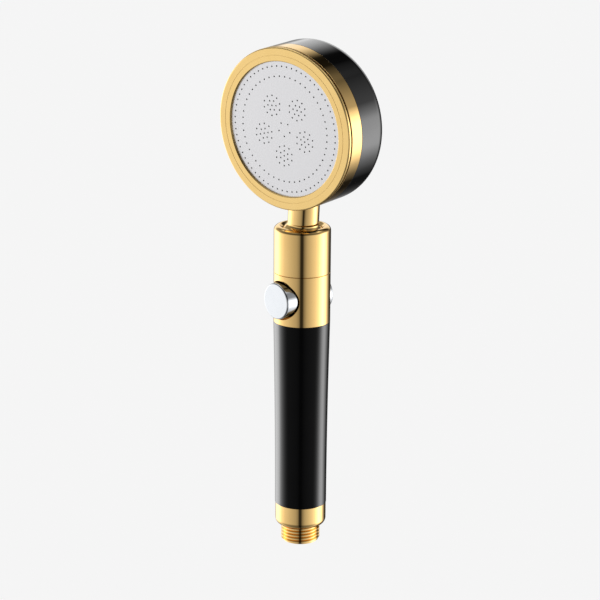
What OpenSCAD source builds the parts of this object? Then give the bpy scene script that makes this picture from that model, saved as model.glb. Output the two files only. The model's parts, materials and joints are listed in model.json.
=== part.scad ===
// Handheld shower head: a round drum on a ball joint, a push-through stop
// valve under the ball, a slim sleeved handle and a G1/2 hose thread.
//
// +Z runs up the handle. The origin is the centre of the shoulder where the hose
// thread meets the handle. The drum sprays towards -Y. Every length is in millimetres.

/* [Hose inlet] */
// Major diameter of the hose thread, G1/2
thread_d = 20.955; // [20.0:0.001:26.441]
// Length of the hose thread
thread_len = 9.6; // [8:0.1:14]
// Chamfer at the end of the thread
thread_chamfer = 1.1; // [0.5:0.1:1.5]
// Diameter of the pocket inside the thread
inlet_pocket_d = 15.6; // [13:0.1:16]
// Depth of that pocket
inlet_pocket_depth = 8; // [6:0.5:9]
// Waterway through the tailpiece
inlet_bore_d = 10; // [6:0.5:12]
// Height of the inlet filter
filter_h = 1.8; // [1.2:0.1:3]

/* [Tailpiece] */
// Step in from the sleeve's lower end to the tailpiece ring
tail_step = 0.2; // [0:0.1:1]
// Height of the tailpiece ring
tail_h = 12.2; // [9:0.1:18]
// Radius of the ring's rounded lower edge
tail_round = 3.2; // [1:0.1:5]

/* [Handle] */
// Outer diameter of the handle at its lower end
sleeve_low_d = 27.8; // [26:0.1:33.5]
// Length of the handle sleeve
sleeve_len = 102.2; // [70:0.1:140]
// Wall of the handle sleeve at its lower end
sleeve_wall = 1.9; // [1:0.1:3]
// Depth of the spigots that centre the sleeve
spigot_len = 10; // [7:0.5:14]
// Outer diameter of the water tube
tube_d = 15; // [12.5:0.1:18]
// Wall of the water tube
tube_wall = 2; // [1.5:0.1:2.5]
// Depth of the water tube in each of its sockets
tube_socket = 7; // [5:0.5:9]

/* [Stop valve] */
// Height of the valve body between the sleeve and the collar nut
valve_h = 27; // [26:0.1:34]
// Diameter of each push button
button_d = 19.5; // [16:0.1:20]
// Gap round each button in its recess
button_gap = 0.8; // [0.2:0.1:1.3]
// Distance from the handle's axis to the face of a pressed button
button_in = 13.7; // [13.6:0.1:14.2]
// Travel of the buttons
button_travel = 4.6; // [4.4:0.1:5]
// Overall length of a button
button_len = 8.3; // [7.8:0.1:8.4]
// Thickness of a button's face
button_web = 3.5; // [3:0.1:4]
// Turn of the button's axis from the spray direction
button_turn = 11; // [-45:1:45]
// Outer diameter of the valve cartridge
cartridge_d = 14.4; // [13.4:0.1:14.6]
// Bore of the valve cartridge
cartridge_bore_d = 11.2; // [10:0.1:11.4]
// Distance from the handle's axis to the floor of each button's recess
button_floor = 5.2; // [5:0.1:5.3]
// Diameter of the ports above and below the cartridge
port_d = 5.6; // [4:0.1:6]

/* [Ball joint] */
// Diameter of the ball
ball_d = 24.4; // [20.4:0.1:29.2]
// Wall of the body round the ball: the collar nut and its thread
body_wall = 2.9; // [2.6:0.1:5]
// Height of the collar nut
collar_h = 25; // [22:0.1:30]
// Overlap of the collar's lip over the ball
lip_overlap = 1.6; // [1.2:0.1:2.4]
// Depth of the ball's centre below the collar's rim
ball_depth = 8; // [7.6:0.1:9]
// Length of the thread that holds the collar nut
collar_thread_len = 10; // [8:0.5:11]
// Radius of the collar's rounded outer rim
collar_round = 2.6; // [0.5:0.1:2.8]
// Step from the ball's diameter down to the neck's
neck_step = 7.9; // [6.8:0.1:10.4]
// Wall of the neck round its waterway
neck_wall = 3.75; // [3.5:0.05:5.2]
// Forward tilt of the head at rest, in degrees
head_pitch = 3; // [-10:0.5:10]
// Sideways lean of the head at rest, in degrees
head_roll = 5.4; // [-8:0.1:8]

/* [Head] */
// Diameter of the drum
head_d = 84.7; // [70:0.1:120]
// Depth of the drum from the bezel's face to its back
head_depth = 32.2; // [29:0.1:45]
// Radius of the drum's back edge
back_round = 7.4; // [3:0.1:9]
// Distance from the ball's centre to the drum's outline
neck_len = 22.3; // [18:0.1:40]
// Distance from the bezel's face back to the neck
neck_back = 20.7; // [20:0.1:21.5]
// Wall of the black shell
shell_wall = 2.2; // [1.6:0.1:3]
// Depth of the gold bezel and band together
band_end = 10.5; // [9.5:0.1:11]
// Thickness of the bezel's flange
flange_h = 1.5; // [1:0.1:2]
// Width of the groove behind the bezel's flange
groove_w = 1; // [0.5:0.1:1.5]
// Depth of that groove
groove_h = 1; // [0.5:0.1:1.2]

/* [Spray face] */
// Width of the bezel's face
bezel_face_w = 7.25; // [7:0.05:9]
// Overlap of the bezel's lip over the spray plate
plate_lap = 1.5; // [1:0.1:1.6]
// Depth of the spray plate behind the bezel's face
plate_recess = 1; // [0.6:0.1:1.4]
// Thickness of the spray plate
plate_t = 0.8; // [0.5:0.1:1]
// Thickness of the rubber gasket behind the plate
gasket_t = 1.5; // [1:0.1:2]
// Thickness of the flow distributor
distributor_t = 3.5; // [2.5:0.1:4]
// Diameter of a spray hole
jet_d = 0.85; // [0.4:0.05:0.9]
// Distance from the bezel's opening to the outer ring of spray holes
jet_margin = 2.5; // [1.6:0.1:4]
// Distance between the outer and the inner ring of spray holes
jet_ring_gap = 5.2; // [4:0.1:7]
// Radius on which the five rosettes of spray holes lie
rosette_r = 13.9; // [11:0.1:14]
// Turn of the hole pattern about the drum's axis, in degrees
pattern_turn = -3; // [-36:1:36]

/* [Fits] */
// Gap round threads and spigots that don't move
fit_gap = 0.1; // [0.05:0.01:0.2]
// Running gap of the ball, its seat and the valve's plunger
run_gap = 0.06; // [0.03:0.01:0.1]

/* [Hidden] */
$fn = 128;
// Overlap of a cutting shape past the face that it cuts
cut = 1;

// Heights up the handle's axis
thread_z = -thread_len;
sleeve_z = tail_h;
valve_z = sleeve_z + sleeve_len;
button_z = valve_z + valve_h / 2;
collar_z = valve_z + valve_h;
rim_z = collar_z + collar_h;
ball_z = rim_z - ball_depth;
tube_z = sleeve_z + spigot_len - tube_socket;
tube_top = valve_z - spigot_len + tube_socket;

// Diameters of the handle
tail_d = sleeve_low_d - 2 * tail_step;
body_d = ball_d + 2 * body_wall;
sleeve_bore_d = sleeve_low_d - 2 * sleeve_wall;
spigot_d = sleeve_bore_d - 2 * fit_gap;
tube_bore_d = tube_d - 2 * tube_wall;

// O-rings of the water tube
tube_groove_d = tube_d - 2;
small_ring_t = tube_d / 2 + fit_gap - tube_groove_d / 2;
groove_clear = 0.15;

// Collar and ball seat
collar_thread_d = body_d - 3.2;
collar_bore_d = collar_thread_d + 2 * fit_gap;
collar_opening_d = ball_d - 2 * lip_overlap;
pocket_d = collar_thread_d - 2;
packing_bore_d = 16;
packing_top = ball_z - ball_d / 2 + 6.2;
washer_t = 0.8;
pocket_z = ball_z - ball_d / 2 + 1.4;
lip_z = rim_z - 3;
seat_low = ball_z + 0.6;
waterway_d = 12;
waterway_depth = 2;

// Plunger, measured along the button's axis from its centre
plunger_half = button_in - button_web + button_travel / 2;
stud_d = 5;
stud_len = 2.5;
plunger_d = cartridge_bore_d - 2 * run_gap;
plunger_groove_d = cartridge_bore_d - 2.6;
plunger_ring_t = (cartridge_bore_d - plunger_groove_d) / 2 - run_gap;
outer_seal = 5.4;
waist_d = cartridge_bore_d - 4;
cartridge_half = button_in - button_web;
cartridge_groove_d = cartridge_d - 1.6;
cartridge_ring_t = (cartridge_d - cartridge_groove_d) / 2;
cartridge_seal = 4.3;
slot_w = 1.3;

// Spray face
window_d = head_d - 2 * bezel_face_w;
plate_d = window_d + 2 * plate_lap;
jet_ring_out = window_d / 2 - jet_margin;
jet_ring_in = jet_ring_out - jet_ring_gap;

// Drum, measured back from the bezel's face
drum_rise = neck_len + head_d / 2;
plate_back = plate_recess + plate_t;
gasket_back = plate_back + gasket_t;
ledge = gasket_back + distributor_t;
ledge_h = 2;
shoulder = flange_h + groove_w;
skirt_in_d = plate_d + 2 * fit_gap;
skirt_out_d = skirt_in_d + 3.2;
skirt_end = ledge - 0.5;
shell_front_in_d = skirt_out_d + 2 * fit_gap;
shell_front_out_d = shell_front_in_d + 3.8;
band_in_d = shell_front_out_d + 2 * fit_gap;
shell_in_d = head_d - 2 * shell_wall;
bezel_groove_d = skirt_out_d - 1.6;
bezel_ring_t = (shell_front_in_d - bezel_groove_d) / 2;
seal_depth = skirt_end - 2.2;

// Neck and its threaded stem round one waterway
neck_d = ball_d - neck_step;
neck_bore_d = neck_d - 2 * neck_wall;
stem_wall = 1.9;
stem_d = neck_bore_d + 2 * stem_wall;

// Neck fixing, measured up from the ball's centre
neck_top = neck_len;
boss_h = shell_wall + 4.2;
boss_d = 18;
nut_h = 4.5;
nut_across = 16;
nut_z = neck_top + boss_h;
stem_top = nut_z + nut_h + 0.5;
neck_groove_d = stem_d - 1.6;
neck_ring_t = (stem_d - neck_groove_d) / 2 + fit_gap;
neck_seal = neck_top + boss_h / 2;

// Colours
gold = [0.86, 0.66, 0.30];
satin_gold = [0.90, 0.72, 0.38];
black = [0.05, 0.05, 0.055];
chrome = [0.85, 0.87, 0.90];
steel = [0.76, 0.76, 0.78];
rubber = [0.12, 0.12, 0.12];
nylon = [0.90, 0.90, 0.86];

// A round tube standing on the XY plane
module ring(outer_d, inner_d, h) {
    difference() {
        cylinder(d = outer_d, h = h);
        translate([0, 0, -cut])
            cylinder(d = inner_d, h = h + 2 * cut);
    }
}

// An O-ring lying in the XY plane, seated on a groove of the given diameter
module o_ring(seat_d, thickness) {
    rotate_extrude()
        translate([seat_d / 2 + thickness / 2, 0])
            circle(d = thickness, $fn = 32);
}

// The groove that takes an O-ring
module o_groove(outer_d, seat_d, thickness) {
    width = thickness + 2 * groove_clear;
    translate([0, 0, -width / 2])
        ring(outer_d + cut, seat_d, width);
}

// Places children on the button's axis: +Z points out of the front button
module on_button_axis() {
    translate([0, 0, button_z])
        rotate([0, 0, -button_turn])
            rotate([90, 0, 0])
                children();
}

// Places children on the plunger, which rests towards the front
module on_plunger() {
    on_button_axis()
        translate([0, 0, button_travel / 2])
            children();
}

// Places children in the head's own frame: the ball's centre is its origin
module in_head() {
    translate([0, 0, ball_z])
        rotate([head_pitch, head_roll, 0])
            children();
}

// Places children in the drum: +Z runs back from the middle of the bezel's face
module in_drum() {
    in_head()
        translate([0, -neck_back, drum_rise])
            rotate([-90, 0, 0])
                children();
}

// The drum's outer shape from a given depth to its back
module drum_outline(front) {
    rotate_extrude() {
        union() {
            translate([0, front])
                square([head_d / 2, head_depth - back_round - front]);
            translate([0, head_depth - back_round - cut])
                square([head_d / 2 - back_round, back_round + cut]);
            intersection() {
                translate([head_d / 2 - back_round, head_depth - back_round])
                    circle(r = back_round);
                translate([head_d / 2 - back_round, head_depth - back_round])
                    square(back_round);
            }
        }
    }
}

module inlet_filter() {
    mesh_pitch = 2.3;
    color(steel)
        translate([0, 0, thread_z])
            difference() {
                cylinder(d = inlet_pocket_d - 2 * fit_gap, h = filter_h);
                for (row = [-2 : 2], column = [-2 : 2])
                    if (norm([row, column]) < 2.4)
                        translate([row * mesh_pitch, column * mesh_pitch, -cut])
                            cylinder(d = 1.5, h = filter_h + 2 * cut, $fn = 24);
            }
}

module flow_regulator() {
    jets = 10;
    color(nylon)
        translate([0, 0, thread_z + filter_h])
            difference() {
                cylinder(d = inlet_pocket_d - 2 * fit_gap, h = inlet_pocket_depth - filter_h);
                translate([0, 0, -cut])
                    cylinder(d = inlet_pocket_d - 5, h = 1.6 + cut);
                for (i = [0 : jets - 1])
                    rotate([0, 0, i * 360 / jets])
                        translate([3.6, 0, -cut])
                            cylinder(d = 1.4, h = inlet_pocket_depth + 2 * cut, $fn = 24);
            }
}

module inlet_tailpiece() {
    color(gold)
        difference() {
            union() {
                translate([0, 0, thread_z])
                    cylinder(d1 = thread_d - 2 * thread_chamfer, d2 = thread_d, h = thread_chamfer);
                translate([0, 0, thread_z + thread_chamfer])
                    cylinder(d = thread_d, h = thread_len - thread_chamfer + cut);
                rotate_extrude()
                    union() {
                        translate([0, tail_round])
                            square([tail_d / 2, tail_h - tail_round]);
                        square([tail_d / 2 - tail_round, tail_round + cut]);
                        intersection() {
                            translate([tail_d / 2 - tail_round, tail_round])
                                circle(r = tail_round);
                            translate([tail_d / 2 - tail_round, 0])
                                square(tail_round);
                        }
                    }
                translate([0, 0, sleeve_z - cut])
                    cylinder(d = spigot_d, h = spigot_len + cut);
            }
            translate([0, 0, thread_z])
                cylinder(d = inlet_bore_d, h = tube_z - thread_z + cut);
            translate([0, 0, thread_z - cut])
                cylinder(d = inlet_pocket_d, h = inlet_pocket_depth + cut);
            translate([0, 0, tube_z])
                cylinder(d = tube_d + 2 * fit_gap, h = tube_socket + cut);
        }
}

module lower_tube_o_ring() {
    color(rubber)
        translate([0, 0, tube_z + tube_socket / 2])
            o_ring(tube_groove_d, small_ring_t);
}

module water_tube() {
    color(gold)
        difference() {
            translate([0, 0, tube_z])
                ring(tube_d, tube_bore_d, tube_top - tube_z);
            translate([0, 0, tube_z + tube_socket / 2])
                o_groove(tube_d, tube_groove_d, small_ring_t);
            translate([0, 0, tube_top - tube_socket / 2])
                o_groove(tube_d, tube_groove_d, small_ring_t);
        }
}

module upper_tube_o_ring() {
    color(rubber)
        translate([0, 0, tube_top - tube_socket / 2])
            o_ring(tube_groove_d, small_ring_t);
}

// The handle flares gently towards its top
module handle_sleeve() {
    steps = 24;
    flare = (body_d - sleeve_low_d) / 2;
    color(black)
        translate([0, 0, sleeve_z])
            rotate_extrude()
                polygon([
                    [sleeve_bore_d / 2, 0],
                    for (i = [0 : steps])
                        [sleeve_low_d / 2 + flare * pow(i / steps, 2), sleeve_len * i / steps],
                    [sleeve_bore_d / 2, sleeve_len]
                ]);
}

module valve_body() {
    color(gold)
        difference() {
            union() {
                translate([0, 0, valve_z - spigot_len])
                    cylinder(d = spigot_d, h = spigot_len + cut);
                translate([0, 0, valve_z])
                    cylinder(d = body_d, h = valve_h);
                translate([0, 0, collar_z - cut])
                    cylinder(d = collar_thread_d, h = collar_thread_len + cut);
            }
            translate([0, 0, valve_z - spigot_len - cut])
                cylinder(d = tube_d + 2 * fit_gap, h = tube_socket + cut);
            translate([0, 0, tube_top - cut])
                cylinder(d = port_d, h = collar_z - tube_top);
            translate([0, 0, collar_z - waterway_depth])
                cylinder(d = waterway_d, h = collar_thread_len + waterway_depth + cut);
            translate([0, 0, pocket_z])
                cylinder(d = pocket_d, h = collar_thread_len + collar_z - pocket_z + cut);
            on_button_axis() {
                translate([0, 0, -body_d])
                    cylinder(d = cartridge_d, h = 2 * body_d);
                for (side = [0, 1])
                    mirror([0, 0, side])
                        translate([0, 0, button_floor])
                            cylinder(d = button_d + 2 * button_gap, h = body_d);
            }
        }
}

module valve_cartridge() {
    color(nylon)
        on_button_axis()
            difference() {
                translate([0, 0, -cartridge_half])
                    ring(cartridge_d, cartridge_bore_d, 2 * cartridge_half);
                for (side = [-1, 1]) {
                    translate([0, 0, side * cartridge_seal])
                        o_groove(cartridge_d, cartridge_groove_d, cartridge_ring_t);
                    // The lower port opens towards the front and the upper one towards the back
                    translate([-port_d / 2, -side * cartridge_d / 2, side * slot_w])
                        translate([0, -cartridge_d / 4, -slot_w / 2])
                            cube([port_d, cartridge_d / 2, slot_w]);
                }
            }
}

module cartridge_o_rings() {
    color(rubber)
        on_button_axis()
            for (side = [-1, 1])
                translate([0, 0, side * cartridge_seal])
                    o_ring(cartridge_groove_d, cartridge_ring_t);
}

// Positions of the plunger's three seals along its own axis
plunger_seals = [-outer_seal, button_travel / 2, outer_seal];

module valve_plunger() {
    color(nylon)
        on_plunger()
            difference() {
                union() {
                    translate([0, 0, -plunger_half])
                        cylinder(d = plunger_d, h = 2 * plunger_half);
                    translate([0, 0, -plunger_half - stud_len])
                        cylinder(d = stud_d, h = 2 * (plunger_half + stud_len));
                }
                for (seal = plunger_seals)
                    translate([0, 0, seal])
                        o_groove(plunger_d, plunger_groove_d, plunger_ring_t);
                translate([0, 0, 1 - outer_seal])
                    ring(plunger_d + cut, waist_d, outer_seal + button_travel / 2 - 2);
            }
}

module plunger_o_rings() {
    color(rubber)
        on_plunger()
            for (seal = plunger_seals)
                translate([0, 0, seal])
                    o_ring(plunger_groove_d, plunger_ring_t);
}

// A push button: a cap with a rounded face and a skirt that runs in the valve body
module button_cap() {
    face_round = 0.9;
    skirt_bore_d = cartridge_d + 2 * fit_gap;
    difference() {
        rotate_extrude()
            union() {
                square([button_d / 2, button_len - face_round]);
                square([button_d / 2 - face_round, button_len]);
                translate([button_d / 2 - face_round, button_len - face_round])
                    circle(r = face_round, $fn = 64);
            }
        translate([0, 0, -cut])
            cylinder(d = skirt_bore_d, h = button_len - button_web + cut);
        translate([0, 0, -cut])
            cylinder(d = stud_d, h = button_len - button_web + stud_len + cut);
    }
}

module front_button() {
    color(chrome)
        on_button_axis()
            translate([0, 0, button_in + button_travel - button_len])
                button_cap();
}

module rear_button() {
    color(chrome)
        on_button_axis()
            mirror([0, 0, 1])
                translate([0, 0, button_in - button_len])
                    button_cap();
}

module packing_washer() {
    color(steel)
        translate([0, 0, pocket_z])
            ring(pocket_d - 2 * fit_gap, packing_bore_d, washer_t);
}

module ball_packing() {
    color(rubber)
        difference() {
            translate([0, 0, pocket_z + washer_t])
                ring(pocket_d - 2 * fit_gap, packing_bore_d, packing_top - pocket_z - washer_t);
            translate([0, 0, ball_z])
                sphere(d = ball_d + 2 * run_gap);
        }
}

module ball_seat() {
    color(nylon)
        difference() {
            translate([0, 0, seat_low])
                cylinder(d = collar_bore_d - 2 * run_gap, h = lip_z - run_gap - seat_low);
            translate([0, 0, ball_z])
                sphere(d = ball_d + 2 * run_gap);
            translate([0, 0, ball_z])
                cylinder(d = collar_opening_d, h = lip_z);
        }
}

module collar_nut() {
    opening_chamfer = 1.4;
    ball_relief = 0.3;
    color(gold)
        difference() {
            translate([0, 0, collar_z])
                rotate_extrude()
                    union() {
                        square([body_d / 2, collar_h - collar_round]);
                        square([body_d / 2 - collar_round, collar_h]);
                        translate([body_d / 2 - collar_round, collar_h - collar_round])
                            circle(r = collar_round, $fn = 64);
                    }
            translate([0, 0, collar_z - cut])
                cylinder(d = collar_bore_d, h = lip_z - collar_z + cut);
            translate([0, 0, lip_z - cut])
                cylinder(d = collar_opening_d, h = rim_z - lip_z + 2 * cut);
            translate([0, 0, ball_z])
                sphere(d = ball_d + 2 * ball_relief);
            translate([0, 0, rim_z - opening_chamfer])
                cylinder(
                    d1 = collar_opening_d,
                    d2 = collar_opening_d + 2 * (opening_chamfer + cut),
                    h = opening_chamfer + cut
                );
        }
}

module ball_neck() {
    ball_flat = 2.4;
    fillet_r = 2.5;
    // The fillet touches the ball and the neck
    fillet_x = neck_d / 2 + fillet_r;
    fillet_z = sqrt(pow(ball_d / 2 + fillet_r, 2) - pow(fillet_x, 2));
    color(gold)
        in_head()
            difference() {
                union() {
                    sphere(d = ball_d);
                    difference() {
                        cylinder(d = neck_d, h = neck_top + shell_wall);
                        translate([0, -neck_back, drum_rise])
                            rotate([-90, 0, 0])
                                drum_outline(band_end);
                    }
                    rotate_extrude()
                        difference() {
                            square([fillet_x * (ball_d / 2) / (ball_d / 2 + fillet_r), fillet_z]);
                            translate([fillet_x, fillet_z])
                                circle(r = fillet_r, $fn = 64);
                        }
                    cylinder(d = stem_d, h = stem_top);
                }
                translate([0, 0, -ball_d])
                    cylinder(d = neck_bore_d, h = 2 * ball_d + stem_top);
                translate([-ball_d / 2, -ball_d / 2, -ball_d - ball_d / 2 + ball_flat])
                    cube(ball_d);
                translate([0, 0, neck_seal])
                    o_groove(stem_d, neck_groove_d, neck_ring_t);
            }
}

module neck_o_ring() {
    color(rubber)
        in_head()
            translate([0, 0, neck_seal])
                o_ring(neck_groove_d, neck_ring_t);
}

module neck_lock_nut() {
    color(chrome)
        in_head()
            translate([0, 0, nut_z])
                difference() {
                    cylinder(d = nut_across / cos(30), h = nut_h, $fn = 6);
                    translate([0, 0, -cut])
                        cylinder(d = stem_d, h = nut_h + 2 * cut);
                }
}

module head_shell() {
    cavity_round = back_round - shell_wall;
    cavity_front = ledge + ledge_h;
    color(black)
        difference() {
            union() {
                in_drum()
                    difference() {
                        union() {
                            drum_outline(band_end);
                            translate([0, 0, shoulder])
                                cylinder(d = shell_front_out_d, h = band_end - shoulder + cut);
                        }
                        translate([0, 0, shoulder - cut])
                            cylinder(d = shell_front_in_d, h = ledge - shoulder + cut);
                        cylinder(d = shell_front_in_d - 5, h = cavity_front + cut);
                        rotate_extrude()
                            union() {
                                translate([0, cavity_front])
                                    square([
                                        shell_front_in_d / 2 - 1,
                                        band_end - cavity_front + cut
                                    ]);
                                translate([0, band_end])
                                    square([
                                        shell_in_d / 2,
                                        head_depth - back_round - band_end
                                    ]);
                                translate([0, band_end])
                                    square([
                                        shell_in_d / 2 - cavity_round,
                                        head_depth - shell_wall - band_end
                                    ]);
                                translate([
                                    shell_in_d / 2 - cavity_round,
                                    head_depth - back_round
                                ])
                                    circle(r = cavity_round);
                            }
                    }
                in_head()
                    intersection() {
                        translate([0, 0, neck_top])
                            cylinder(d = boss_d, h = boss_h);
                        translate([0, -neck_back, drum_rise])
                            rotate([-90, 0, 0])
                                drum_outline(band_end);
                    }
            }
            in_head()
                cylinder(d = stem_d + 2 * fit_gap, h = nut_z + cut);
        }
}

module gold_band() {
    color(gold)
        in_drum()
            translate([0, 0, shoulder])
                ring(head_d, band_in_d, band_end - shoulder);
}

module bezel_o_ring() {
    color(rubber)
        in_drum()
            translate([0, 0, seal_depth])
                o_ring(bezel_groove_d, bezel_ring_t);
}

module flow_distributor() {
    ports = 24;
    color(nylon)
        in_drum()
            translate([0, 0, gasket_back])
                difference() {
                    cylinder(d = plate_d, h = distributor_t);
                    translate([0, 0, -cut])
                        cylinder(r = jet_ring_out + 1, h = 1.2 + cut);
                    for (i = [0 : ports - 1])
                        rotate([0, 0, (i + 0.5) * 360 / ports])
                            translate([(jet_ring_in + jet_ring_out) / 2, 0, 0])
                                cylinder(d = 2.6, h = distributor_t + cut, $fn = 32);
                    for (i = [0 : 4])
                        rotate([0, 0, 90 + pattern_turn + i * 72])
                            translate([rosette_r, 0, 0])
                                cylinder(d = 5, h = distributor_t + cut, $fn = 32);
                }
}

module plate_gasket() {
    color(rubber)
        in_drum()
            translate([0, 0, plate_back])
                ring(plate_d, 2 * jet_ring_out + 1.6, gasket_t);
}

// One spray hole at a radius and an angle about the middle of its pattern
module jet(radius, angle) {
    rotate([0, 0, angle])
        translate([radius, 0, plate_recess - cut])
            cylinder(d = jet_d, h = plate_t + 2 * cut, $fn = 16);
}

module spray_plate() {
    outer_jets = 64;
    inner_jets = 50;
    centre_jets_r = 3.7;
    petal_in = 2.62;
    petal_out = 5.23;
    color(steel)
        in_drum()
            rotate([0, 0, 90 + pattern_turn])
                difference() {
                    translate([0, 0, plate_recess])
                        cylinder(d = plate_d, h = plate_t);
                    for (i = [0 : outer_jets - 1])
                        jet(jet_ring_out, (i + 0.37) * 360 / outer_jets);
                    for (i = [0 : inner_jets - 1])
                        jet(jet_ring_in, i * 360 / inner_jets);
                    for (i = [0 : 4])
                        rotate([0, 0, i * 72]) {
                            jet(centre_jets_r, 0);
                            translate([rosette_r, 0, 0]) {
                                jet(0, 0);
                                for (j = [0 : 5])
                                    jet(petal_in, j * 60);
                                for (j = [0 : 9])
                                    jet(petal_out, j * 36);
                            }
                        }
                }
}

module bezel_ring() {
    edge_round = 0.8;
    window_chamfer = 0.6;
    face_groove_w = 0.5;
    face_groove_h = 0.3;
    face_groove_d = window_d + 6.4;
    color(satin_gold)
        in_drum()
            difference() {
                union() {
                    rotate_extrude()
                        union() {
                            translate([0, edge_round])
                                square([head_d / 2, flange_h - edge_round]);
                            square([head_d / 2 - edge_round, flange_h]);
                            intersection() {
                                translate([head_d / 2 - edge_round, edge_round])
                                    circle(r = edge_round, $fn = 64);
                                square([head_d / 2, flange_h]);
                            }
                        }
                    cylinder(d = head_d - 2 * groove_h, h = shoulder);
                    cylinder(d = skirt_out_d, h = skirt_end);
                }
                translate([0, 0, -cut])
                    cylinder(d = window_d, h = shoulder + 2 * cut);
                translate([0, 0, plate_recess])
                    cylinder(d = skirt_in_d, h = skirt_end);
                translate([0, 0, -cut])
                    cylinder(
                        d1 = window_d + 2 * (window_chamfer + cut),
                        d2 = window_d,
                        h = window_chamfer + cut
                    );
                translate([0, 0, -cut])
                    ring(face_groove_d + face_groove_w, face_groove_d - face_groove_w, face_groove_h + cut);
                translate([0, 0, seal_depth])
                    o_groove(skirt_out_d, bezel_groove_d, bezel_ring_t);
            }
}

inlet_filter();
flow_regulator();
inlet_tailpiece();
lower_tube_o_ring();
water_tube();
upper_tube_o_ring();
handle_sleeve();
valve_body();
valve_cartridge();
cartridge_o_rings();
valve_plunger();
plunger_o_rings();
front_button();
rear_button();
packing_washer();
ball_packing();
ball_seat();
collar_nut();
ball_neck();
neck_o_ring();
neck_lock_nut();
head_shell();
gold_band();
bezel_o_ring();
flow_distributor();
plate_gasket();
spray_plate();
bezel_ring();
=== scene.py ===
import json
import math

import bmesh
import bpy
from mathutils import Matrix, Vector


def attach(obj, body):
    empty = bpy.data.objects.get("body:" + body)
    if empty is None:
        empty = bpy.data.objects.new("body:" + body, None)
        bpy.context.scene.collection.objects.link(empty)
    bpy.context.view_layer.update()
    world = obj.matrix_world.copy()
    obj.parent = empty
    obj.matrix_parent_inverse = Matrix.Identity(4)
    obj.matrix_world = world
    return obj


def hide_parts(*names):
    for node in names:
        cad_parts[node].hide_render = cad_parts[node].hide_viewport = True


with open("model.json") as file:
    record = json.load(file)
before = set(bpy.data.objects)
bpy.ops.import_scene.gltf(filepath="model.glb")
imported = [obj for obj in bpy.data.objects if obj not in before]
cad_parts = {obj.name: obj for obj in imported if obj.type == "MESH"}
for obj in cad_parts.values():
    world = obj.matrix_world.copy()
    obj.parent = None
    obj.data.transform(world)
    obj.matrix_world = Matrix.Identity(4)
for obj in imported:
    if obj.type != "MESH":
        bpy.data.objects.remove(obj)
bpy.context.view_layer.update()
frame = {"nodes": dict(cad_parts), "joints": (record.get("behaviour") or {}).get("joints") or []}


# ---------------------------------------------------------------- camera
# The camera stands a little above the shower head, at its front right, with a long lens.
camera_turn = math.radians(38.1)
camera_pitch = math.radians(15.94)
camera_roll = math.radians(0.39)
camera_aim = math.radians(0.052)
camera_away = 1.1158
camera_height = 0.4441

camera_data = bpy.data.cameras.new("camera")
camera_data.sensor_width = 36
camera_data.lens = 131.5
camera_data.clip_start = 0.01
camera_data.clip_end = 100
camera = bpy.data.objects.new("camera", camera_data)
bpy.context.scene.collection.objects.link(camera)
camera.matrix_world = (
    Matrix.Rotation(camera_turn, 4, "Z")
    @ Matrix.Translation((0, -camera_away, camera_height))
    @ Matrix.Rotation(camera_aim, 4, "Z")
    @ Matrix.Rotation(math.radians(90) - camera_pitch, 4, "X")
    @ Matrix.Rotation(camera_roll, 4, "Z")
)
bpy.context.scene.camera = camera


# ---------------------------------------------------------------- studio
# A pale floor, and soft panels of light round the object with a dark gap in front of it.
# The world holds the panels as brightness by direction, so their edges are soft.
class Value:
    """A shader socket that Python's arithmetic works on."""

    def __init__(self, tree, socket):
        self.tree = tree
        self.socket = socket

    def maths(self, operation, *others):
        node = self.tree.nodes.new("ShaderNodeMath")
        node.operation = operation
        for slot, other in zip(node.inputs, (self, *others)):
            plug(self.tree, slot, other)
        return Value(self.tree, node.outputs[0])

    def __add__(self, other):
        return self.maths("ADD", other)

    def __mul__(self, other):
        return self.maths("MULTIPLY", other)

    __radd__ = __add__
    __rmul__ = __mul__


def plug(tree, slot, value):
    """Links a Value to a socket, or sets a plain number or colour on it."""
    if isinstance(value, Value):
        tree.links.new(value.socket, slot)
    elif hasattr(slot.default_value, "__len__") and len(slot.default_value) == 4:
        slot.default_value = (*value, 1)
    else:
        slot.default_value = value


class Shader:
    """A node tree with one method that makes any node."""

    def __init__(self, tree):
        self.tree = tree
        tree.nodes.clear()

    def node(self, kind, settings=(), out=0, **sockets):
        made = self.tree.nodes.new("ShaderNode" + kind)
        for name, value in dict(settings).items():
            if name == "stops":
                ramp = made.color_ramp
                while len(ramp.elements) < len(value):
                    ramp.elements.new(1)
                for element, (position, level) in zip(ramp.elements, value):
                    element.position = position
                    element.color = (level, level, level, 1)
            else:
                setattr(made, name, value)
        for name, value in sockets.items():
            key = int(name[1:]) if name[1:].isdigit() else name.replace("_", " ")
            plug(self.tree, made.inputs[key], value)
        return Value(self.tree, made.outputs[out]) if made.outputs else None


world = bpy.data.worlds.new("studio")
world.use_nodes = True
bpy.context.scene.world = world
sky = Shader(world.node_tree)
direction = sky.node("TexCoord", out="Generated")
ahead = (math.sin(camera_turn), -math.cos(camera_turn), 0)
aside = (math.cos(camera_turn), math.sin(camera_turn), 0)
towards_camera = sky.node("VectorMath", {"operation": "DOT_PRODUCT"}, out="Value", _0=direction, _1=ahead)
to_the_right = sky.node("VectorMath", {"operation": "DOT_PRODUCT"}, out="Value", _0=direction, _1=aside)
angle = to_the_right.maths("ARCTAN2", towards_camera)
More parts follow.
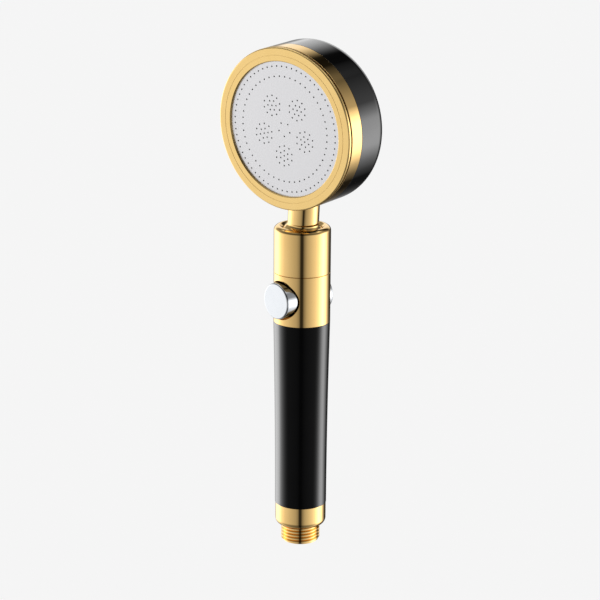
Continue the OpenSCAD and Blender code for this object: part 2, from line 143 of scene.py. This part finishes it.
# Brightness by degrees round the object, from behind its left to behind its right
brightest = 4.0
panels = [
    (-180, 0.3), (-165, 0.5), (-152, 1.1), (-140, 1.8), (-124, 2.3), (-112, 2.3), (-102, 1.6), (-92, 1.25),
    (-75, 0.9), (-50, 0.68), (-22, 0.47), (-11, 0.28), (-6, 0.03), (3, 0.03), (9, 0.25), (20, 0.5),
    (38, 0.74), (56, 1.0), (72, 1.45), (82, 2.2), (94, 2.9), (106, 2.3), (120, 1.0), (131, 0.35),
    (142, 0.04), (152, 0.03), (168, 0.12), (180, 0.3),
]
around = sky.node(
    "ValToRGB",
    {"stops": [((turn + 180) / 360, level / brightest) for turn, level in panels]},
    Fac=angle * (1 / math.tau) + 0.5,
)
# The panels are full at the object's height and a little below it. They fade towards the
# ground, and above them come a dim gap and then a lamp.
height = sky.node("SeparateXYZ", Vector=direction, out="Z")
ceiling = [
    (0, 0.15), (0.2, 0.4), (0.32, 1), (0.5, 1), (0.52, 0.95), (0.57, 0.6), (0.64, 0.2),
    (0.8, 0.12), (0.9, 0.5), (1, 0.8),
]
above = sky.node("ValToRGB", {"stops": ceiling}, Fac=height * 0.5 + 0.5)
upright = sky.node("VectorMath", {"operation": "MULTIPLY"}, _0=around, _1=above)
# A pale wall behind the object, above the floor's edge
behind = sky.node(
    "MapRange", {"interpolation_type": "SMOOTHSTEP"}, Value=towards_camera,
    From_Min=-0.7, From_Max=-0.93, To_Max=1.02 / brightest,
)
over_floor = sky.node(
    "MapRange", {"interpolation_type": "SMOOTHSTEP"}, Value=height, From_Min=0.02, From_Max=0.2,
)
upright = sky.node("VectorMath", {"operation": "ADD"}, _0=upright, _1=behind * over_floor)
panel_light = sky.node("Background", Color=upright, Strength=brightest)
plain_light = sky.node("Background", Color=(0.913, 0.913, 0.913), Strength=1.0)
seen_directly = sky.node("LightPath", out="Is Camera Ray")
sky_light = sky.node("MixShader", _0=seen_directly, _1=panel_light, _2=plain_light)
sky.node("OutputWorld", Surface=sky_light)

floor_size = 24
floor_z = -0.07
floor_mesh = bmesh.new()
bmesh.ops.create_grid(floor_mesh, x_segments=1, y_segments=1, size=floor_size / 2)
bmesh.ops.translate(floor_mesh, verts=floor_mesh.verts, vec=(0, 0, floor_z))
floor_data = bpy.data.meshes.new("floor")
floor_mesh.to_mesh(floor_data)
floor_mesh.free()
floor = bpy.data.objects.new("floor", floor_data)
bpy.context.scene.collection.objects.link(floor)
floor.visible_glossy = False
floor_material = bpy.data.materials.new("floor_paper")
floor_material.use_nodes = True
paper = Shader(floor_material.node_tree)
glow = paper.node("Emission", Color=(0.87, 0.87, 0.87), Strength=1.0)
matt = paper.node("BsdfDiffuse", Color=(0.1, 0.1, 0.1))
lit = paper.node("AddShader", _0=glow, _1=matt)
underside = paper.node("NewGeometry", out="Backfacing")
clear = paper.node("BsdfTransparent")
paper.node("OutputMaterial", Surface=paper.node("MixShader", _0=underside, _1=lit, _2=clear))
floor_data.materials.append(floor_material)

bpy.context.scene.view_settings.view_transform = "Standard"


# ---------------------------------------------------------------- inlet tailpiece
# The brass end of the handle: a ring with a rounded lower edge, a G1/2 thread cut below it and
# a spigot above it that centres the sleeve. It is turned from bar, polished and gold plated.
mm = 0.001
handle_steps = 160
# Points this close are one point
same_place = 1e-7
same_height = 1e-6
# Edges rounded by more millimetres than this get more segments
broad_round = 0.7
sharp_bend = math.radians(31)


def finish(name, colour, metallic, roughness, **constants):
    """A material's shader; its principled node takes the colour, shine and other constants."""
    material = bpy.data.materials.new(name)
    material.use_nodes = True
    shader = Shader(material.node_tree)
    shader.material = material
    shader.body = material.node_tree.nodes.new("ShaderNodeBsdfPrincipled")
    shader.node("OutputMaterial", Surface=Value(shader.tree, shader.body.outputs[0]))
    feed(shader, Base_Color=colour, Metallic=metallic, Roughness=roughness, **constants)
    return shader


def feed(shader, **sockets):
    """Sets or links sockets of a material's principled node."""
    for name, value in sockets.items():
        plug(shader.tree, shader.body.inputs[name.replace("_", " ")], value)


def mottle(shader, scale, detail=3):
    """Noise from 0 to 1 that varies in every direction, with patches 1 / scale metres wide."""
    spot = shader.node("TexCoord", out="Object")
    return shader.node("TexNoise", out="Fac", Vector=spot, Scale=scale, Detail=detail)


def lathe_marks(shader, scale, place=Matrix(), detail=2):
    """Noise from 0 to 1 in fine rings round the axis of a turned piece that stands at a place."""
    spot = shader.node("TexCoord", out="Object")
    back = place.inverted()
    spot = shader.node("Mapping", Vector=spot, Location=back.to_translation(), Rotation=back.to_euler())
    x, y, z = (shader.node("SeparateXYZ", out=axis, Vector=spot) for axis in "XYZ")
    radius = (x * x + y * y).maths("SQRT")
    spot = shader.node("CombineXYZ", X=radius, Y=z)
    return shader.node("TexNoise", out="Fac", Vector=spot, Scale=scale, Detail=detail)


def tint(shader, amount, dark, light):
    """Varies the base colour between two colours."""
    feed(shader, Base_Color=shader.node("Mix", {"data_type": "RGBA"}, out=2, _0=amount, _6=dark, _7=light))


def roughen(shader, amount, least, most):
    """Varies the roughness between two values."""
    feed(shader, Roughness=amount * (most - least) + least)


def relief(shader, height, depth, strength=1.0):
    """Raises the surface by a height from 0 to 1, times a depth in metres."""
    feed(shader, Normal=shader.node("Bump", Height=height, Strength=strength, Distance=depth))


def section(outline):
    """The closed outline of a turned piece's section, as a wire in the XZ plane.

    Each corner is its radius, its height and the rounding of its edge, in millimetres.
    An outline that reaches the axis stays open there."""
    wire = bmesh.new()
    corners = [wire.verts.new((radius * mm, 0, height * mm)) for radius, height, _ in outline]
    wire.faces.new(corners)
    for corner, (_, _, rounding) in zip(corners, outline):
        if rounding:
            bmesh.ops.bevel(
                wire, geom=[corner], offset=rounding * mm, offset_type="OFFSET", affect="VERTICES",
                segments=12 if rounding > broad_round else 4, profile=0.5, material=-1,
            )
    bmesh.ops.delete(wire, geom=wire.faces[:], context="FACES_ONLY")
    on_axis = [edge for edge in wire.edges if all(vert.co.x < same_place for vert in edge.verts)]
    bmesh.ops.delete(wire, geom=on_axis, context="EDGES")
    return wire


def turn(wire, steps=handle_steps, place=Matrix()):
    """Turns a section round Z into a solid, and sets it in place."""
    bmesh.ops.spin(
        wire, geom=wire.verts[:] + wire.edges[:], axis=(0, 0, 1), cent=(0, 0, 0),
        angle=math.tau, steps=steps, use_merge=True,
    )
    bmesh.ops.remove_doubles(wire, verts=wire.verts[:], dist=same_place)
    bmesh.ops.recalc_face_normals(wire, faces=wire.faces[:])
    bmesh.ops.transform(wire, matrix=place, verts=wire.verts[:])
    return wire


def fit(name, shape, shader, body, slot_name, *nodes):
    """Makes a piece of a shape, shades it, and fits it to its body in place of its CAD nodes."""
    for face in shape.faces:
        face.smooth = True
    for edge in shape.edges:
        edge.smooth = edge.is_boundary or edge.calc_face_angle(0) < sharp_bend
    data = bpy.data.meshes.new(name)
    shape.to_mesh(data)
    shape.free()
    data.materials.append(shader.material)
    piece = bpy.data.objects.new(name, data)
    bpy.context.scene.collection.objects.link(piece)
    piece.modifiers.new("even_shine", "WEIGHTED_NORMAL").keep_sharp = True
    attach(piece, body)
    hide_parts(*nodes)
    return piece


def dress(shader, *nodes):
    """Gives CAD nodes a material."""
    for node in nodes:
        for slot in frame["nodes"][node].material_slots:
            slot.material = shader.material


polished_gold = finish("polished_gold", (0.93, 0.62, 0.24), 1.0, 0.04)
tint(polished_gold, mottle(polished_gold, 70), (0.91, 0.59, 0.22), (0.95, 0.65, 0.265))
roughen(polished_gold, mottle(polished_gold, 350), 0.03, 0.06)
relief(polished_gold, lathe_marks(polished_gold, 2500), 0.4e-6, 0.5)

thread_r = 10.4775
thread_root_r = 9.3155
thread_pitch = 1.814
thread_len = 9.6
thread_chamfer = 1.1
thread_steps = 96
# A pitch of the thread's section, as shares of the pitch
flank_foot = 0.12
crest_low = 0.42
crest_high = 0.58
# Turns of thread made past its lower end, and cut off
overrun = 1.5
# Gap between the thread and the ring's section, which a flat ring closes
thread_relief = 0.3
ring_r = 13.7
ring_h = 12.2
ring_round = 3.2
ring_top_round = 0.12
spigot_r = 11.9
spigot_h = 10
socket_r = 7.6
socket_h = 7
bore_r = 5
pocket_r = 7.8
pocket_h = 8
pocket_lip = 0.6
edge_break = 0.2
lead_round = 0.4
spigot_top = ring_h + spigot_h

ring_wire = section([
    (pocket_r + pocket_lip, -thread_len, 0),
    (pocket_r, -thread_len, edge_break),
    (pocket_r, pocket_h - thread_len, 0),
    (bore_r, pocket_h - thread_len, 0),
    (bore_r, spigot_top - socket_h, 0),
    (socket_r, spigot_top - socket_h, 0),
    (socket_r, spigot_top, edge_break),
    (spigot_r, spigot_top, lead_round),
    (spigot_r, ring_h, 0),
    (ring_r, ring_h, ring_top_round),
    (ring_r, 0, ring_round),
    (thread_r + thread_relief, 0, 0),
])
# The thread closes this side of the ring's section
open_side = [
    edge for edge in ring_wire.edges
    if abs(edge.verts[0].co.z - edge.verts[1].co.z) > (thread_len - edge_break) * mm
    and max(vert.co.x for vert in edge.verts) > thread_r * mm
]
bmesh.ops.delete(ring_wire, geom=open_side, context="EDGES_FACES")
tailpiece = turn(ring_wire)

# One pitch of the thread's section, run up a helix past both ends, then cut to length
helix = bmesh.new()
rungs = [
    (thread_root_r, 0), (thread_root_r, flank_foot), (thread_r, crest_low),
    (thread_r, crest_high), (thread_root_r, 1 - flank_foot), (thread_root_r, 1),
]
steps_up = [helix.verts.new((radius * mm, 0, rise * thread_pitch * mm)) for radius, rise in rungs]
for lower, upper in zip(steps_up, steps_up[1:]):
    helix.edges.new((lower, upper))
turns = math.ceil(thread_len / thread_pitch) + 2
bmesh.ops.translate(helix, verts=helix.verts, vec=(0, 0, -(thread_len + overrun * thread_pitch) * mm))
bmesh.ops.spin(
    helix, geom=helix.verts[:] + helix.edges[:], axis=(0, 0, 1), cent=(0, 0, 0),
    dvec=(0, 0, thread_pitch * mm / thread_steps), angle=math.tau * turns, steps=thread_steps * turns,
)
bmesh.ops.remove_doubles(helix, verts=helix.verts[:], dist=same_height)
for height, side in ((-thread_len, -1), (0, 1)):
    bmesh.ops.bisect_plane(
        helix, geom=helix.verts[:] + helix.edges[:] + helix.faces[:], dist=same_place,
        plane_co=(0, 0, height * mm), plane_no=(0, 0, side), clear_outer=True,
    )
for vert in helix.verts:
    widest = (thread_r - thread_chamfer) * mm + (vert.co.z + thread_len * mm)
    around = Vector((vert.co.x, vert.co.y, 0))
    if around.length > widest:
        vert.co = around.normalized() * widest + Vector((0, 0, vert.co.z))
helix_data = bpy.data.meshes.new("thread")
helix.to_mesh(helix_data)
helix.free()
tailpiece.from_mesh(helix_data)
bpy.data.meshes.remove(helix_data)
for height in (-thread_len, 0):
    rims = [
        edge for edge in tailpiece.edges
        if edge.is_boundary and all(abs(vert.co.z - height * mm) < same_height for vert in edge.verts)
    ]
    bmesh.ops.bridge_loops(tailpiece, edges=rims)
bmesh.ops.recalc_face_normals(tailpiece, faces=tailpiece.faces[:])
fit("inlet_tailpiece_gold", tailpiece, polished_gold, "handle", "polished_gold", "inlet_tailpiece")


# ---------------------------------------------------------------- filter and flow regulator
# A pressed steel mesh disc and a moulded disc with jets, pushed into the thread's pocket.
plain_steel = finish("plain_steel", (0.56, 0.56, 0.57), 1.0, 0.3)
tint(plain_steel, mottle(plain_steel, 260), (0.48, 0.48, 0.49), (0.62, 0.62, 0.62))
roughen(plain_steel, mottle(plain_steel, 900), 0.22, 0.42)
dress(plain_steel, "inlet_filter", "packing_washer")

white_plastic = finish("white_acetal", (0.8, 0.8, 0.76), 0.0, 0.4, IOR=1.48)
tint(white_plastic, mottle(white_plastic, 180), (0.76, 0.76, 0.72), (0.82, 0.82, 0.79))
roughen(white_plastic, mottle(white_plastic, 1200), 0.32, 0.47)
relief(white_plastic, mottle(white_plastic, 4000), 4e-6)
dress(white_plastic, "flow_regulator", "valve_cartridge", "valve_plunger", "ball_seat", "flow_distributor")


# ---------------------------------------------------------------- water tube and seals
# A white acetal tube in two sockets, with a nitrile O-ring at each end. Every other O-ring and
# gasket of the head has the same moulded rubber.
dress(white_plastic, "water_tube")
rubber = finish("nitrile_rubber", (0.02, 0.02, 0.02), 0.0, 0.6, IOR=1.52)
tint(rubber, mottle(rubber, 500), (0.014, 0.014, 0.014), (0.03, 0.03, 0.031))
roughen(rubber, mottle(rubber, 1500), 0.45, 0.7)
relief(rubber, mottle(rubber, 6000), 6e-6)
dress(
    rubber, "lower_tube_o_ring", "upper_tube_o_ring", "cartridge_o_rings", "plunger_o_rings",
    "ball_packing", "neck_o_ring", "bezel_o_ring", "plate_gasket",
)


# ---------------------------------------------------------------- handle sleeve
# A drawn aluminium tube that flares gently towards its top, lacquered gloss black. It is
# clamped between the tailpiece and the valve body.
black_lacquer = finish(
    "black_lacquer", (0.003, 0.003, 0.0032), 0.0, 0.03, IOR=1.16, Coat_IOR=2.0, Coat_Roughness=0.03,
)
# The lacquer is deep black face on, and its clear top coat shines towards its edges
turned_away = black_lacquer.node("LayerWeight", out="Facing", Blend=0.5)
feed(black_lacquer, Coat_Weight=black_lacquer.node(
    "MapRange", {"interpolation_type": "SMOOTHSTEP"}, Value=turned_away, From_Min=0.17, From_Max=0.52,
))
tint(black_lacquer, mottle(black_lacquer, 90), (0.0022, 0.0022, 0.0024), (0.0038, 0.0038, 0.004))
roughen(black_lacquer, mottle(black_lacquer, 220), 0.025, 0.055)
relief(black_lacquer, mottle(black_lacquer, 700, 1), 1e-6, 0.6)

sleeve_low_r = 13.9
sleeve_top_r = 15.1
sleeve_bore_r = 12
sleeve_len = 102.2
joint_round = 0.15
# Rings of points along the sleeve, which carry its flare
sleeve_rings = 30
sleeve_top = ring_h + sleeve_len
sleeve_wire = section([
    (sleeve_bore_r, ring_h, 0), (sleeve_low_r, ring_h, joint_round),
    (sleeve_top_r, sleeve_top, joint_round), (sleeve_bore_r, sleeve_top, 0),
])
wall_middle = (sleeve_bore_r + sleeve_low_r) / 2
outer_side = [
    edge for edge in sleeve_wire.edges
    if edge.calc_length() > sleeve_len * mm / 2 and edge.verts[0].co.x > wall_middle * mm
]
bmesh.ops.subdivide_edges(sleeve_wire, edges=outer_side, cuts=sleeve_rings)
for vert in sleeve_wire.verts:
    rise = (vert.co.z / mm - ring_h) / sleeve_len
    if vert.co.x > wall_middle * mm:
        vert.co.x += (sleeve_top_r - sleeve_low_r) * (rise * rise - rise) * mm
fit("handle_sleeve_black", turn(sleeve_wire), black_lacquer, "handle", "black_lacquer", "handle_sleeve")


# ---------------------------------------------------------------- valve body
# A brass body that is polished and gold plated, with a spigot in the sleeve, a thread for the
# collar nut, and a cross bore for the stop valve that opens into a round recess on each side.
body_r = 15.1
body_h = 27
body_steps = 256
seam_round = 0.3
body_top = sleeve_top + body_h
tube_stop = sleeve_top - spigot_h + socket_h
collar_thread_r = 13.5
collar_thread_h = 10
packing_r = 12.5
packing_floor = body_top + 6.2
waterway_r = 6
waterway_floor = body_top - 2
port_r = 2.8
button_r = 9.75
button_gap = 0.8
recess_r = button_r + button_gap
button_axis_turn = math.radians(-11)
button_floor = 5.2
button_steps = 128
cartridge_r = 7.2
valve_shape = turn(section([
    (socket_r, sleeve_top - spigot_h, 0),
    (spigot_r, sleeve_top - spigot_h, lead_round),
    (spigot_r, sleeve_top, 0),
    (body_r, sleeve_top, joint_round),
    (body_r, body_top, seam_round),
    (collar_thread_r, body_top, 0),
    (collar_thread_r, body_top + collar_thread_h, lead_round),
    (packing_r, body_top + collar_thread_h, 0),
    (packing_r, packing_floor, 0),
    (waterway_r, packing_floor, 0),
    (waterway_r, waterway_floor, 0),
    (port_r, waterway_floor, 0),
    (port_r, tube_stop, 0),
    (socket_r, tube_stop, 0),
]), body_steps)
button_place = (
    Matrix.Translation((0, 0, (sleeve_top + body_h / 2) * mm))
    @ Matrix.Rotation(button_axis_turn, 4, "Z")
    @ Matrix.Rotation(math.radians(90), 4, "X")
)
past_body = body_r + 3
valve_cutter = turn(section([
    (0, -past_body, 0), (recess_r, -past_body, 0), (recess_r, -button_floor, 0),
    (cartridge_r, -button_floor, 0), (cartridge_r, button_floor, 0),
    (recess_r, button_floor, 0), (recess_r, past_body, 0), (0, past_body, 0),
]), button_steps, button_place)


def plain_object(name, shape):
    """An object of a shape, used while another piece is made."""
    data = bpy.data.meshes.new(name)
    shape.to_mesh(data)
    shape.free()
    thing = bpy.data.objects.new(name, data)
    bpy.context.scene.collection.objects.link(thing)
    return thing


def cut_away(shape, cutter_shape):
    """A shape with another taken out of it."""
    blank = plain_object("blank", shape)
    cutter = plain_object("cutter", cutter_shape)
    cutting = blank.modifiers.new("cut", "BOOLEAN")
    cutting.object = cutter
    cutting.operation = "DIFFERENCE"
    cutting.solver = "EXACT"
    seen = blank.evaluated_get(bpy.context.evaluated_depsgraph_get())
    left = bmesh.new()
    left.from_mesh(seen.to_mesh())
    for thing in (blank, cutter):
        data = thing.data
        bpy.data.objects.remove(thing)
        bpy.data.meshes.remove(data)
    bmesh.ops.remove_doubles(left, verts=left.verts[:], dist=same_place)
    return left


valve_piece = fit(
    "valve_body_gold", cut_away(valve_shape, valve_cutter), polished_gold, "handle",
    "polished_gold", "valve_body",
)
# The body's round side keeps a true round shine across the cut faces
valve_piece.modifiers.clear()
valve_data = valve_piece.data
valve_normals = [Vector(corner.vector) for corner in valve_data.corner_normals]
# How far a corner of the round side may lie from its radius, and how far its face may lean
side_slack = 0.02
side_lean = 0.3
for face in valve_data.polygons:
    around = [Vector(valve_data.vertices[index].co.xy) for index in face.vertices]
    on_side = all(abs(place.length - body_r * mm) < side_slack * mm for place in around)
    if on_side and abs(face.normal.z) < side_lean:
        for loop, place in zip(face.loop_indices, around):
            valve_normals[loop] = Vector((*place.normalized(), 0))
valve_data.normals_split_custom_set(valve_normals)


# ---------------------------------------------------------------- stop buttons
# Two brass caps in bright chrome, screwed to the ends of the plunger. Each runs in its recess,
# with its skirt round the valve's cartridge.
chrome = finish("bright_chrome", (0.58, 0.6, 0.62), 1.0, 0.05)
tint(chrome, mottle(chrome, 150), (0.55, 0.57, 0.595), (0.61, 0.63, 0.65))
roughen(chrome, mottle(chrome, 600), 0.05, 0.09)
relief(chrome, mottle(chrome, 900), 0.5e-6, 0.5)

button_in = 13.7
button_travel = 4.6
button_len = 8.3
button_web = 3.5
stud_r = 2.5
stud_len = 2.5
face_round = 0.9
skirt_gap = 0.1
skirt_bore_r = cartridge_r + skirt_gap
# A hair clear of the cartridge's end, where a pressed button stops
stop_clearance = 0.03
web_inside = button_len - button_web + stop_clearance
stud_end = button_len - button_web + stud_len
button_outline = [
    (0, button_len, 0), (button_r, button_len, face_round), (button_r, 0, edge_break),
    (skirt_bore_r, 0, edge_break), (skirt_bore_r, web_inside, 0), (stud_r, web_inside, 0),
    (stud_r, stud_end, 0), (0, stud_end, 0),
]
front_place = button_place @ Matrix.Translation((0, 0, (button_in + button_travel - button_len) * mm))
rear_place = (
    button_place
    @ Matrix.Rotation(math.radians(180), 4, "X")
    @ Matrix.Translation((0, 0, (button_in - button_len) * mm))
)
for side, place in (("front", front_place), ("rear", rear_place)):
    fit(
        side + "_button_chrome", turn(section(button_outline), button_steps, place), chrome,
        "stop_plunger", "chrome_button", side + "_button",
    )


# ---------------------------------------------------------------- collar nut
# A polished gold nut that screws down over the ball. Its top rim is rounded outside and
# bevelled round the opening.
collar_h = 25
collar_top = body_top + collar_h
collar_bore_r = 13.6
opening_r = 10.6
opening_bevel = 1.4
opening_edge = 0.1
rim_round = 2.6
lip_h = 3
# The lip's underside stands just clear of the ball
lip_low_r = 11.46
fit("collar_nut_gold", turn(section([
    (collar_bore_r, body_top, opening_edge),
    (body_r, body_top, seam_round),
    (body_r, collar_top, rim_round),
    (opening_r + opening_bevel, collar_top, edge_break),
    (opening_r, collar_top - opening_bevel, opening_edge),
    (lip_low_r, collar_top - lip_h, 0),
    (collar_bore_r, collar_top - lip_h, 0),
]), body_steps), polished_gold, "handle", "polished_gold", "collar_nut")


# ---------------------------------------------------------------- ball and neck
# The ball, its neck and the threaded stem are turned in one piece of brass, bored for the
# water, polished and gold plated. The neck ends on the drum's outline.
ball_joint = next(joint for joint in frame["joints"] if joint["name"] == "head_tilt")
head_lean = math.radians(5.4)
head_pitch = math.radians(3)
head_place = (
    Matrix.Translation(ball_joint["pos_m"])
    @ Matrix.Rotation(head_lean, 4, "Y")
    @ Matrix.Rotation(head_pitch, 4, "X")
)
drum_r = 42.35
drum_depth = 32.2
drum_round = 7.4
neck_len = 22.3
neck_back = 20.7
drum_rise = neck_len + drum_r
drum_place = (
    head_place
    @ Matrix.Translation((0, -neck_back * mm, drum_rise * mm))
    @ Matrix.Rotation(math.radians(-90), 4, "X")
)
neck_steps = 192
ball_steps = 64
fillet_steps = 12
ball_r = 12.2
ball_flat = 9.8
neck_r = 8.25
neck_fillet = 2.5
neck_bore_r = 4.5
stem_r = 6.4
stem_top = 33.7
fillet_z = math.sqrt((ball_r + neck_fillet) ** 2 - (neck_r + neck_fillet) ** 2)
touch = math.atan2(neck_r + neck_fillet, fillet_z)
flat_angle = math.acos(-ball_flat / ball_r)

# The section runs up the ball, through a fillet to the neck, and back down the waterway
neck_wire = bmesh.new()
start = neck_wire.verts.new((ball_r * mm * math.sin(flat_angle), 0, ball_r * mm * math.cos(flat_angle)))
arc = bmesh.ops.spin(
    neck_wire, geom=[start], axis=(0, -1, 0), cent=(0, 0, 0),
    angle=flat_angle - touch, steps=ball_steps,
)["geom_last"]
fillet_start = [thing for thing in arc if isinstance(thing, bmesh.types.BMVert)]
arc = bmesh.ops.spin(
    neck_wire, geom=fillet_start, axis=(0, 1, 0), cent=((neck_r + neck_fillet) * mm, 0, fillet_z * mm),
    angle=math.pi / 2 - touch, steps=fillet_steps,
)["geom_last"]
last = next(thing for thing in arc if isinstance(thing, bmesh.types.BMVert))
for radius, height in (
    (neck_r, neck_len), (stem_r, neck_len), (stem_r, stem_top), (neck_bore_r, stem_top),
    (neck_bore_r, -ball_flat),
):
    corner = neck_wire.verts.new((radius * mm, 0, height * mm))
    neck_wire.edges.new((last, corner))
    last = corner
neck_wire.edges.new((last, start))
neck_shape = turn(neck_wire, neck_steps)
# The neck's end follows the drum's round side and rounded back
for vert in neck_shape.verts:
    if abs(vert.co.z - neck_len * mm) < same_height:
        back = max(0, vert.co.y / mm + neck_back - (drum_depth - drum_round))
        reach = drum_r - drum_round + math.sqrt(drum_round ** 2 - back ** 2)
        vert.co.z = (drum_rise - math.sqrt(reach ** 2 - (vert.co.x / mm) ** 2)) * mm
bmesh.ops.transform(neck_shape, matrix=head_place, verts=neck_shape.verts[:])
fit("ball_neck_gold", neck_shape, polished_gold, "head", "polished_gold", "ball_neck")

plain_brass = finish("machined_brass", (0.66, 0.45, 0.2), 1.0, 0.25)
tint(plain_brass, mottle(plain_brass, 200), (0.58, 0.39, 0.17), (0.7, 0.49, 0.23))
roughen(plain_brass, mottle(plain_brass, 800), 0.2, 0.35)
dress(plain_brass, "neck_lock_nut")


# ---------------------------------------------------------------- drum shell
# A spun aluminium cup with a rounded back, lacquered gloss black. Its narrower front carries
# the gold band and takes the bezel's skirt.
drum_steps = 256
band_end = 10.5
shoulder = 2.5
front_in_r = 38.4
front_out_r = 40.3
ledge = 6.8
ledge_h = 2
ledge_w = 2.5
ledge_back_w = 1
shell_wall = 2.2
shell_in_r = drum_r - shell_wall
shell_shape = turn(section([
    (0, drum_depth, 0),
    (drum_r, drum_depth, drum_round),
    (drum_r, band_end, edge_break),
    (front_out_r, band_end, 0),
    (front_out_r, shoulder, edge_break),
    (front_in_r, shoulder, edge_break),
    (front_in_r, ledge, 0),
    (front_in_r - ledge_w, ledge, 0),
    (front_in_r - ledge_w, ledge + ledge_h, 0),
    (front_in_r - ledge_back_w, ledge + ledge_h, 0),
    (front_in_r - ledge_back_w, band_end, 0),
    (shell_in_r, band_end, 0),
    (shell_in_r, drum_depth - shell_wall, drum_round - shell_wall),
    (0, drum_depth - shell_wall, 0),
]), drum_steps, drum_place)
fit("head_shell_black", shell_shape, black_lacquer, "head", "black_lacquer", "head_shell")


# ---------------------------------------------------------------- gold band
# A polished gold ring that is pressed onto the shell's front and stands flush with the drum.
band_gap = 0.1
band_in_r = front_out_r + band_gap
band_front_round = 0.25
fit("gold_band_polished", turn(section([
    (band_in_r, shoulder, 0),
    (drum_r, shoulder, band_front_round),
    (drum_r, band_end, joint_round),
    (band_in_r, band_end, 0),
]), drum_steps, drum_place), polished_gold, "head", "polished_gold", "gold_band")


# ---------------------------------------------------------------- spray plate
# A stainless disc with laser-drilled holes and a fine matt face, held against the gasket.
spray_steel = finish("matt_stainless", (0.87, 0.865, 0.88), 1.0, 0.4)
tint(spray_steel, mottle(spray_steel, 2200), (0.83, 0.825, 0.845), (0.91, 0.905, 0.92))
roughen(spray_steel, mottle(spray_steel, 3000), 0.36, 0.48)
relief(spray_steel, mottle(spray_steel, 5200, 2), 4e-6, 0.5)
dress(spray_steel, "spray_plate")


# ---------------------------------------------------------------- bezel ring
# A brass ring with a satin gold face that shows its fine turning. It holds the plate, and its
# skirt screws into the shell.
satin_gold = finish("satin_gold", (0.95, 0.66, 0.26), 1.0, 0.25)
tint(satin_gold, mottle(satin_gold, 120), (0.92, 0.63, 0.235), (0.97, 0.69, 0.285))
roughen(satin_gold, lathe_marks(satin_gold, 4000, drum_place), 0.2, 0.34)
relief(satin_gold, lathe_marks(satin_gold, 5000, drum_place), 4e-6, 0.6)

bezel_face_w = 7.25
window_r = drum_r - bezel_face_w
window_bevel = 0.35
plate_recess = 1
flange_h = 1.5
# The groove behind the flange is deep, so that it shows dark beside the gold band
groove_depth = 2.4
face_groove_r = window_r + 3.2
face_groove_half = 0.15
face_groove_depth = 0.12
skirt_in_r = 36.7
skirt_out_r = 38.3
skirt_end = 6.3
seal_r = 37.5
seal_front = 3.5
seal_back = 4.7
bezel_round = 0.8
window_edge = 0.08
groove_edge = 0.06
flange_edge = 0.1
fit("bezel_ring_satin", turn(section([
    (window_r, plate_recess, 0),
    (window_r, window_bevel, 0),
    (window_r + window_bevel, 0, window_edge),
    (face_groove_r - face_groove_half, 0, groove_edge),
    (face_groove_r - face_groove_half, face_groove_depth, 0),
    (face_groove_r + face_groove_half, face_groove_depth, 0),
    (face_groove_r + face_groove_half, 0, groove_edge),
    (drum_r, 0, bezel_round),
    (drum_r, flange_h, flange_edge),
    (drum_r - groove_depth, flange_h, 0),
    (drum_r - groove_depth, shoulder, 0),
    (skirt_out_r, shoulder, 0),
    (skirt_out_r, seal_front, 0),
    (seal_r, seal_front, 0),
    (seal_r, seal_back, 0),
    (skirt_out_r, seal_back, 0),
    (skirt_out_r, skirt_end, edge_break),
    (skirt_in_r, skirt_end, edge_break),
    (skirt_in_r, plate_recess, 0),
]), drum_steps, drum_place), satin_gold, "head", "satin_gold", "bezel_ring")
